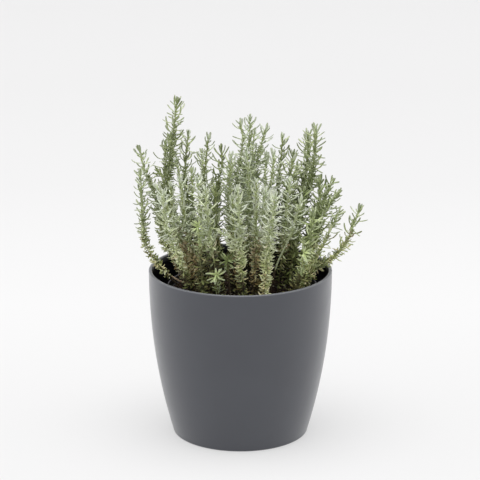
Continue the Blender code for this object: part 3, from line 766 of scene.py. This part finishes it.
def add_needles(shells, needles, form, chart_rows):
    """Add every needle of a list, all of one form, to a band of rows in the map."""
    count = len(needles)
    if not count:
        return
    section, stations, widths = form
    rings = len(stations)
    sides = len(section)
    values = [np.array(column).reshape(count, 1, -1) for column in zip(*needles)]
    root, lean, rise, length, width, bend, hook, sway = values[:8]
    side = unit(np.cross(lean, rise))
    t = np.array(stations + [1.0])[None, :, None]
    lift = bend * t**2 + hook * t**3
    line = root + length * (lean * t + rise * lift + side * sway * t * t)
    along = unit(lean + (2.0 * bend * t + 3.0 * hook * t**2) * rise + 2.0 * sway * t * side)
    across = unit(np.cross(along, rise))
    above = np.cross(across, along)
    reach = (width / 2.0 * np.array(widths)[None, :, None])[..., None]
    shape = np.array(section)
    ring = (
        line[:, :-1, None, :]
        + across[:, :-1, None, :] * (reach * shape[:, 0:1])
        + above[:, :-1, None, :] * (reach * shape[:, 1:2])
    )
    vertices = np.concatenate([ring.reshape(count, rings * sides, 3), line[:, -1:, :]], 1)
    under = np.concatenate([np.tile((shape[:, 1] < 0.0).astype(float), rings), [0.5]])
    end = np.repeat(np.array(stations + [1.0]), [sides] * rings + [1])
    faces, corners = grid_faces(rings, sides)
    columns = max(1, int(sqrt(count / 2.5)))
    rows = ceil(count / columns)
    low, high = chart_rows
    wide = 0.92 / columns
    tall = (high - low) * 0.88 / rows
    for index, needle in enumerate(needles):
        left = (index % columns + 0.04) / columns
        foot = low + (high - low) * (index // columns + 0.06) / rows
        layers = {**needle._asdict(), "under": under, "end": end}
        shells.add(vertices[index], faces, corners, (left, wide, foot, tall), layers, 0)


def habit_at(from_tip):
    """The numbers of NEEDLE_HABIT at a distance from the tip, blended between its rows."""
    places, *columns = zip(*NEEDLE_HABIT)
    return [float(np.interp(from_tip / MM, places, column)) for column in columns]


def clear_of_pots(point):
    """True for a point that stays off the planter's lip, the nursery pot's rim and the soil."""
    reach = hypot(point[0], point[1])
    inner = hypot(point[0] - POT_X, point[1])
    if reach > PLANTER_RADIUS - PLANTER_WALL - 1.5 * MM and point[2] < PLANTER_HEIGHT + 1.5 * MM:
        return False
    if inner > POT_NECK_RADIUS - 2.5 * MM and point[2] < POT_LIFT + POT_HEIGHT + 1.5 * MM:
        return False
    return point[2] > SOIL_TOP + 1 * MM


def fits(needle):
    """True for a needle whose middle and tip stay clear of the pots and the soil."""
    for part in (0.5, 1.0):
        lift = needle.bend * part**2 + needle.hook * part**3
        if not clear_of_pots(needle.root + needle.length * (needle.lean * part + needle.rise * lift)):
            return False
    return True


def shaded_share(point):
    """How far a point lies within the low part of the bush, where little light reaches and needles
    get painted shade.
    """
    height = point[2] - SOIL_TOP
    reach = hypot(point[0], point[1]) + 0.8 * max(-point[1], 0.0)
    inner_shade = (BUSH_RADIUS + BUSH_SPREAD * height - reach) / BUSH_EDGE
    return clamp(inner_shade) * clamp((SHADE_FROM - height) / SHADE_OVER)


def leaf_out(angle, along):
    """The direction of a leaf round a stem, level with the stem's cross-section."""
    side = unit(np.cross(along, np.array([0.0, 1.0, 0.0])))
    return side * cos(angle) + np.cross(along, side) * sin(angle)


def leaf_axes(level, along, rise):
    """The way a leaf points that rises from the level, and the way its upper face looks."""
    lean = level * cos(rise) + along * sin(rise)
    return lean, unit(along * cos(rise) - level * sin(rise))


def add_tube(shells, line, level, reach, tip, chart, layers, kind):
    """Add a closed tube along (centres, directions); reach is its radius by ring and angle."""
    centres, along = line
    rings, sides = reach.shape
    side = unit(np.cross(along, level))
    across = np.cross(along, side)
    angles = np.arange(sides) * FULL_TURN / sides
    ring = (
        centres[:, None, :]
        + side[:, None, :] * (np.cos(angles) * reach)[..., None]
        + across[:, None, :] * (np.sin(angles) * reach)[..., None]
    )
    vertices = np.concatenate([ring.reshape(-1, 3), [centres[-1] + along[-1] * tip]])
    faces, corners = grid_faces(rings, sides)
    shells.add(vertices, faces, corners, chart, layers, kind)


def add_stalk(shells, line, radii, sides, ages, rows):
    """Add a slightly ribbed tube with a radius and an age at every ring."""
    angles = np.arange(sides) * FULL_TURN / sides
    twist = np.arange(len(radii))[:, None] * RIB_TWIST
    reach = radii[:, None] * (1.0 + RIB_DEPTH * np.sin(angles * 3.0 + twist))
    layers = {"age": np.concatenate([np.repeat(ages, sides), ages[-1:]]), "tone": 0.5}
    low, high = rows
    chart = (0.01, 0.98, low, high - low)
    add_tube(shells, line, (0.0, 1.0, 0.0), reach, 2.0 * radii[-1], chart, layers, 1)


class Stem:
    """A leafy stem while it grows: its style, its seeded draws, its shells and its needles."""

    def __init__(self, index, style):
        self.name = "stem_%02d" % (index + 1)
        self.style = style
        self.habit = STYLES[style]
        self.bare = BARE_FEET.get(index + 1, 0) * MM
        self.draw = random.Random(FIRST_SEED + index)
        self.shells = Shells()
        self.needles = []
        self.small = []


def add_main_stalk(stem, line, foot):
    """The stem's own tube, from its foot in the soil to its tip."""
    distances = np.linspace(0.0, line.length, max(12, int(line.length / STEM_STEP)))
    centres, along = places_at(line, distances)
    centres = np.concatenate([[foot], centres])
    along = np.concatenate([[UP], along])
    share = np.concatenate([[0.0], distances / line.length])
    radii = STEM_FOOT_RADIUS + (STEM_TIP_RADIUS - STEM_FOOT_RADIUS) * share
    # Towards the soil the skin turns brown, partly with age and partly as painted shade
    height = centres[:, 2] - SOIL_TOP
    old = np.clip((STEM_OLD_FROM - height) / STEM_OLD_OVER, 0.0, 1.0)
    ages = np.clip(0.4 * stem.habit.green + 0.45 * stem.habit.dead + 0.8 * old, 0.0, 1.0)
    if stem.style == "white" and stem.bare:
        ages = np.clip(ages - 0.5 + 0.9 * (height < 0.5 * stem.bare), 0.0, 1.0)
    else:
        ages[height < stem.bare] = 1.0
    add_stalk(stem.shells, (centres, along), radii, STEM_SIDES, ages, STEM_ROWS)


def add_branches(stem, trunk):
    """Short side branchlets with needles of their own."""
    draw = stem.draw
    from_tip = BRANCH_FROM + draw.uniform(0.0, 8.0) * MM
    starts = []
    while from_tip < min(BRANCH_TO, trunk.length - 12 * MM):
        starts.append(from_tip)
        from_tip += draw.uniform(*BRANCH_GAPS)
    for row, from_tip in enumerate(starts):
        if draw.random() > stem.habit.branching:
            continue
        place, along = place_at(trunk, trunk.length - from_tip)
        level = leaf_out(draw.uniform(*ANY_TURN), along)
        reach = draw.uniform(*BRANCH_LENGTHS)
        rise = radians(draw.uniform(12.0, 42.0))
        heading, _ = leaf_axes(level, along, rise)
        shares = np.linspace(0.0, 1.0, BRANCH_RINGS)[:, None]
        route = place + level * 0.5 * MM + reach * (heading * shares + along * 0.32 * shares**2)
        beyond = route[-1] + heading * 4 * MM
        if place[2] < SOIL_TOP + max(stem.bare, BRANCH_LOWEST) or not clear_of_pots(beyond):
            continue
        branch = line_of(route)
        line = places_at(branch, np.linspace(0.0, branch.length, BRANCH_RINGS))
        radii = np.linspace(0.62, 0.42, BRANCH_RINGS) * MM
        age = clamp(0.4 * stem.habit.green + (from_tip - BRANCH_FROM) * 4.0)
        low = BRANCH_ROWS_FROM + BRANCH_ROWS_SPAN * row / len(starts)
        rows = (low, low + 0.75 * BRANCH_ROWS_SPAN / len(starts))
        add_stalk(stem.shells, line, radii, BRANCH_SIDES, np.full(BRANCH_RINGS, age), rows)
        grow_needles(stem, branch, from_tip)


def grow_needles(stem, line, start=0.0):
    """A spiral of needles down the stem, or down a branchlet that starts below the tip."""
    draw = stem.draw
    branch = start > 0.0
    from_tip = 0.0
    turn = draw.uniform(*ANY_TURN)
    leaf = 0
    while from_tip < line.length - (1.0 if branch else 2.0) * MM:
        place, along = place_at(line, line.length - from_tip)
        if place[2] - SOIL_TOP < stem.bare:
            break
        needle, along, gap = needle_at(stem, place, along, turn, from_tip, start)
        if fits(needle):
            (stem.small if needle.length < SHORT_NEEDLE else stem.needles).append(needle)
        if CORE_FROM < from_tip < CORE_TO and not branch:
            for _ in range(CORE_LEAVES):
                stem.small += core_leaf(stem, needle, place, along)
        young = (from_tip / MM - 28.0) / 30.0
        tuft_chance = min(max(young, 0.0), 0.75) * (1.0 - 0.75 * needle.old)
        if leaf % TUFT_EVERY == 0 and draw.random() < tuft_chance:
            stem.small += axil_tuft(stem, needle, along)
        turn += GOLDEN_TURN
        leaf += 1
        from_tip += gap * stem.habit.spacing * MM


def needle_at(stem, place, along, turn, from_tip, start):
    """A needle, the direction of the stem there, and the distance to the next needle."""
    draw = stem.draw
    habit = stem.habit
    height = place[2] - SOIL_TOP
    shoot = stem.style in SHOOTS and from_tip < FRESH_SHOOT
    rise, spread, size, bend, hook, gap = habit_at(from_tip)
    old = clamp((OLD_FROM - height) / OLD_OVER)
    age = needle_age(stem, place, from_tip + 0.6 * start)
    sunk = clamp((habit.sunk * MM - height) / SUNK_OVER)
    width = NEEDLE_WIDTH * draw.uniform(0.88, 1.12) * (1.18 if from_tip < YOUNG_TIP else 1.0)
    width *= 1.0 + (LOW_WIDTH - 1.0) * old
    if start:
        size *= 0.78
        width *= 0.9
        gap *= 0.9
    if shoot:
        outward = unit(np.array([place[0], place[1], 0.0]))
        opened = ROSETTE_OPEN * max(0.0, 1.0 - from_tip / ROSETTE_OVER)
        along = unit(along + outward * opened)
        rise = 8.0 + 0.2 * rise
        size = max(size, 10.0) if from_tip < ROSETTE else 7.0
        gap *= 0.35 if from_tip < ROSETTE else 1.3
        width *= 0.85
        age = 0.25
        old = 0.0
        sunk = 0.0
    elif not start:
        rise -= 8.0 * old
    rise = radians(rise + draw.uniform(-spread, spread))
    size *= MM * habit.size * draw.uniform(0.74, 1.15)
    if stem.style == "slim":
        size *= 1.0 - 0.10 * old
    level = leaf_out(turn + draw.uniform(-0.35, 0.35), along)

    # Old needles are either bright or dark. Those deep in the low inner bush or low down get a darker
    # tone as painted shade, and many turn nearly black, partly as dead needles and partly as painted
    # shade
    inner = shaded_share(place + level * 6 * MM)
    spot = draw.random()
    spot += old * (0.5 * (spot > 0.5) - 0.5 * (spot < 0.5)) * min(spot, 1.0 - spot)
    tone = habit.bright + (1.0 - habit.bright) * spot * (1.0 - habit.dark)
    tone *= 1.0 - 0.5 * old * (spot < 0.4)
    # Painted shade: the tone darkens deep in the low inner bush and low down in a stem's shade
    tone *= (1.0 - 0.90 * inner) * (1.0 - 0.75 * sunk)
    if draw.random() < max(0.85 * inner, 0.55 * sunk):
        age = draw.uniform(0.86, 1.0)
    lean, up = leaf_axes(level, along, rise)
    root = place + level * NEEDLE_OUT
    bend *= draw.uniform(0.2, 1.9)
    hook *= draw.uniform(0.2, 1.9)
    sway = draw.uniform(-0.24, 0.24)
    fresh = habit.fresh if shoot or stem.style not in SHOOTS else 0.15
    needle = Needle(root, lean, up, size, width, bend, hook, sway, age, tone, fresh, old)
    return needle, along, gap


def needle_age(stem, place, seen_age):
    """The age of a needle: silver to green where it lives, straw to black where it has died."""
    draw = stem.draw
    dead = stem.habit.dead
    depth = max(0.0, (SOIL_TOP + OLD_FROM - place[2]) / OLD_OVER)
    age = 0.20 * min(seen_age / (70 * MM), 1.0) + 0.42 * stem.habit.green + draw.uniform(-0.10, 0.14)
    patch = perlin.noise(Vector(place) / PATCH)
    if draw.random() < 0.95 * depth * (1.0 + 0.7 * dead):
        if draw.random() < dead * (1.0 + 1.6 * patch):
            age = draw.uniform(0.70, 0.89)
        else:
            age = draw.choice((0.02, 0.10, 0.22, 0.36, 0.60, 0.65, 0.68)) + draw.uniform(-0.03, 0.04)
    return clamp(age)


def core_leaf(stem, parent, place, along):
    """A short leaf that stands close to the stem, darker and greener than the long needles."""
    draw = stem.draw
    level = leaf_out(draw.uniform(*ANY_TURN), along)
    lean, up = leaf_axes(level, along, radians(draw.uniform(18.0, 68.0)))
    needle = parent._replace(
        root=place + level * NEEDLE_OUT + along * draw.uniform(0.0, 2.0) * MM,
        lean=lean,
        rise=up,
        length=draw.uniform(2.8, 5.2) * MM,
        width=NEEDLE_WIDTH * draw.uniform(0.75, 1.0),
        age=clamp(max(draw.uniform(0.18, 0.46), parent.age)),
        tone=min(1.0, 0.08 + parent.tone * draw.uniform(0.7, 1.2)),
    )
    return [needle] if fits(needle) else []


def axil_tuft(stem, parent, along):
    """A small side shoot above a needle: a few short needles that spread from one point."""
    draw = stem.draw
    level = unit(parent.lean - along * float(np.dot(parent.lean, along)))
    heading = unit(level + along * draw.uniform(0.2, 1.3))
    base = parent.root + along * 1.1 * MM + level * NEEDLE_OUT
    first = unit(np.cross(heading, along))
    second = np.cross(first, heading)
    start = draw.uniform(*ANY_TURN)
    tuft = []
    for leaf in range(draw.choice((3, 4, 4, 5))):
        angle = start + leaf * GOLDEN_TURN
        spread = radians(draw.uniform(14.0, 55.0))
        out = first * cos(angle) + second * sin(angle)
        lean, down = leaf_axes(heading, out, spread)
        needle = parent._replace(
            root=base + heading * leaf * 0.5 * MM,
            lean=lean,
            rise=-down,
            length=draw.uniform(3.6, 6.6) * MM,
            width=NEEDLE_WIDTH * draw.uniform(0.70, 0.92),
            bend=draw.uniform(-0.50, 0.05),
            hook=draw.uniform(0.0, 0.8),
            sway=draw.uniform(-0.25, 0.25),
            age=clamp(parent.age - 0.08),
            tone=min(1.0, parent.tone * draw.uniform(0.6, 1.3)),
        )
        if fits(needle):
            tuft.append(needle)
    return tuft


def make_stem(index, style, marks, finishes):
    """One leafy stem with its needles, tufts and side branchlets."""
    stem = Stem(index, style)
    x, y = marks[0]
    line = line_of(stem_route(marks), STEM_SHORT)
    add_main_stalk(stem, line, (x * MM, y * MM, SOIL_TOP - STEM_FOOT_DEPTH))
    grow_needles(stem, line)
    add_branches(stem, line)
    shells = stem.shells
    add_needles(shells, stem.needles, LONG_FORM, LONG_ROWS)
    add_needles(shells, stem.small, SMALL_FORM, SMALL_ROWS)
    made = link("leafy_" + stem.name, shells.mesh("leafy_" + stem.name))
    dress(made, finishes)
    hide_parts(stem.name)


def make_twig():
    """The dead twig, with swollen joints and a fissured skin."""
    line = line_of(smooth_route([Vector(point) * MM for point in TWIG_ROUTE]))
    distances = np.linspace(0.0, line.length, TWIG_RINGS)
    share = distances / line.length
    angles = np.arange(TWIG_SIDES) * FULL_TURN / TWIG_SIDES
    radius = TWIG_RADIUS * (1.0 - 0.35 * share) * (1.0 + 0.14 * np.sin(share * 26.0) ** 4)
    reach = radius[:, None] * (1.0 + 0.07 * np.sin(angles * 4.0 + share[:, None] * 31.0))
    shells = Shells()
    add_tube(shells, places_at(line, distances), UP, reach, 0.5 * MM, (0.02, 0.96, 0.02, 0.96), {}, 0)
    made = link("dry_twig_fine", shells.mesh("dry_twig_fine"))
    dress(made, [twig_material()])
    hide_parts("dry_twig")


def spot_on_soil(draw, margin):
    """A random place on the soil, at least a margin away from its edge."""
    reach = (SOIL_RADIUS - margin) * sqrt(draw.random())
    angle = draw.uniform(0.0, FULL_TURN)
    return POT_X + reach * cos(angle), reach * sin(angle)


def make_litter(finish):
    """Dry needles that have dropped on the peat."""
    draw = random.Random(77)
    shells = Shells()
    needles = []
    while len(needles) < FALLEN_NEEDLES:
        x, y = spot_on_soil(draw, 6 * MM)
        heading = draw.uniform(0.0, FULL_TURN)
        size = draw.uniform(5.0, 10.0) * MM
        tilt = draw.uniform(-0.12, 0.25)
        lean = unit(np.array([cos(heading), sin(heading), tilt]))
        end = hypot(x + lean[0] * size - POT_X, y + lean[1] * size)
        if end > SOIL_RADIUS - 1 * MM:
            continue
        root = np.array([x, y, soil_height(x, y) + 0.6 * MM])
        up = unit(np.cross(np.cross(lean, UP), lean))
        width = NEEDLE_WIDTH * draw.uniform(0.6, 0.85)
        bend = draw.uniform(-0.1, 0.3)
        sway = draw.uniform(-0.4, 0.4)
        age = 0.72 + 0.28 * draw.random()
        needles.append(Needle(root, lean, up, size, width, bend, 0.0, sway, age, draw.random()))
    add_needles(shells, needles, SMALL_FORM, (0.0, 1.0))
    made = link("fallen_needles", shells.mesh("fallen_needles"))
    dress(made, [finish])


def make_crumbs():
    """Loose peat crumbs on the soil."""
    draw = random.Random(31)
    bm = bmesh.new()
    for _ in range(PEAT_CRUMBS):
        x, y = spot_on_soil(draw, 2.5 * MM)
        size = draw.uniform(0.6, 1.9) * MM
        made = bmesh.ops.create_icosphere(bm, subdivisions=1, radius=size)
        stretch = Vector((draw.uniform(0.7, 1.3), draw.uniform(0.7, 1.3), draw.uniform(0.45, 0.8)))
        for vert in made["verts"]:
            vert.co = Vector(a * b for a, b in zip(vert.co, stretch)) * draw.uniform(0.8, 1.15)
            vert.co += Vector((x, y, soil_height(x, y) + 0.2 * size))
    dress(link("peat_crumbs", mesh_of(bm, "peat_crumbs")), [peat_material()])


# The sweep, in metres, and its own glow from the plant backwards, by the share of the distance
SWEEP_HALF_WIDTH = 4.0
SWEEP_FRONT = -3.0
SWEEP_BACK = 2.0
SWEEP_BEND = 1.5
SWEEP_BEND_STEPS = 12
SWEEP_TOP = 4.0
SWEEP_BELOW = 0.2 * MM
SWEEP_FADE = 1.6
SWEEP_GLOW = [(0.0, 0.512), (0.12, 0.520), (0.25, 0.529), (0.41, 0.508), (0.60, 0.478), (1.0, 0.456)]


def make_stage():
    """A seamless white floor that curves up behind."""
    made, tree, shader = plain_material("white_sweep", (0.27, 0.2685, 0.27), 0.9)
    place = tree.nodes.new("ShaderNodeTexCoord")
    axes = tree.nodes.new("ShaderNodeSeparateXYZ")
    wire(axes, Vector=place.outputs["Object"])
    depth = scaled(axes.outputs["Y"], 0.0, SWEEP_FADE, 0.0, 1.0)
    wire(shader, Emission_Color=ramp(depth, greys(SWEEP_GLOW)))
    wire(shader, Emission_Strength=1.0, Specular_IOR_Level=0.0)
    profile = [(SWEEP_FRONT, 0.0), (SWEEP_BACK, 0.0)]
    for step in range(1, SWEEP_BEND_STEPS + 1):
        angle = radians(90.0 * step / SWEEP_BEND_STEPS)
        profile.append((SWEEP_BACK + SWEEP_BEND * sin(angle), SWEEP_BEND * (1.0 - cos(angle))))
    profile.append((SWEEP_BACK + SWEEP_BEND, SWEEP_TOP))
    vertices = []
    for y, z in profile:
        vertices += [(-SWEEP_HALF_WIDTH, y, z), (SWEEP_HALF_WIDTH, y, z)]
    faces = [(2 * row, 2 * row + 1, 2 * row + 3, 2 * row + 2) for row in range(len(profile) - 1)]
    mesh = bpy.data.meshes.new("sweep")
    mesh.from_pydata(vertices, [], faces)
    mesh.materials.append(made)
    mesh.shade_smooth()
    sweep = link("sweep", mesh)
    sweep.location.z = -SWEEP_BELOW


# The dome's brightness by the sine of the height above the horizon, and a glow on either side,
# by its side and its brightness, between the heights of GLOW_HEIGHTS in shares of the dome
DOME = [(-1.0, 0.92), (0.0, 0.92), (0.10, 0.90), (0.30, 0.50), (0.70, 0.50), (1.0, 1.10)]
SIDE_GLOWS = [(-1.0, 2.60), (1.0, 1.30)]
GLOW_HEIGHTS = [(0.55, 0.0), (0.60, 1.0), (0.80, 1.0), (0.88, 0.0)]
GLOW_EDGE = 0.55
GLOW_FULL = 0.85
KEY_ENERGY = 2.25
KEY_SPREAD = radians(50.0)
KEY_TOWARDS = Vector((0.0, 0.05, -1.0))


def make_light():
    """A soft white dome with a broad glow on either side, and a weak key from above."""
    world = bpy.data.worlds.new("soft_dome")
    world.use_nodes = True
    tree = world.node_tree
    background = tree.nodes["Background"]
    place = tree.nodes.new("ShaderNodeTexCoord")
    axes = tree.nodes.new("ShaderNodeSeparateXYZ")
    wire(axes, Vector=place.outputs["Generated"])
    height = scaled(axes.outputs["Z"], -1.0, 1.0, 0.0, 1.0)
    brightest = max(value for _, value in DOME)
    glow = ramp(height, greys([((z + 1.0) / 2.0, value / brightest) for z, value in DOME]))
    level = ramp(height, greys(GLOW_HEIGHTS))
    for side, brightness in SIDE_GLOWS:
        edges = (GLOW_EDGE * side, GLOW_FULL * side)
        strength = scaled(axes.outputs["X"], *edges, 0.0, brightness / brightest)
        glow = mix(strength, glow, level, "ADD")
    wire(background, Color=glow, Strength=brightest)
    bpy.context.scene.world = world
    lamp = bpy.data.lights.new("key", "SUN")
    lamp.energy = KEY_ENERGY
    lamp.angle = KEY_SPREAD
    made = link("key", lamp)
    made.rotation_euler = KEY_TOWARDS.to_track_quat("-Z", "Y").to_euler()


# The camera, fitted to the photograph: metres, radians and a focal length in pixels
CAMERA_DISTANCE = 2.167
CAMERA_ELEVATION = radians(16.18)
CAMERA_AIM = Vector((-0.0004, 0.0, 0.1956))
FOCAL_PIXELS = 2213.5
PICTURE_WIDTH = 480.0


def make_camera():
    camera = bpy.data.cameras.new("camera")
    camera.sensor_width = 36.0
    camera.lens = camera.sensor_width * FOCAL_PIXELS / PICTURE_WIDTH
    made = link("camera", camera)
    back = Vector((0.0, -cos(CAMERA_ELEVATION), sin(CAMERA_ELEVATION)))
    made.location = CAMERA_AIM + back * CAMERA_DISTANCE
    made.rotation_euler = (radians(90.0) - CAMERA_ELEVATION, 0.0, 0.0)
    bpy.context.scene.camera = made


def main():
    bpy.context.scene.view_settings.view_transform = "Standard"
    make_camera()
    make_light()
    make_stage()
    make_planter()
    make_nursery_pot()
    make_soil()
    make_crumbs()
    make_twig()
    needle = needle_material()
    finishes = (needle, stem_material())
    make_litter(needle)
    for index, (style, *route) in enumerate(STEM_ROUTES):
        make_stem(index, style, route, finishes)


main()
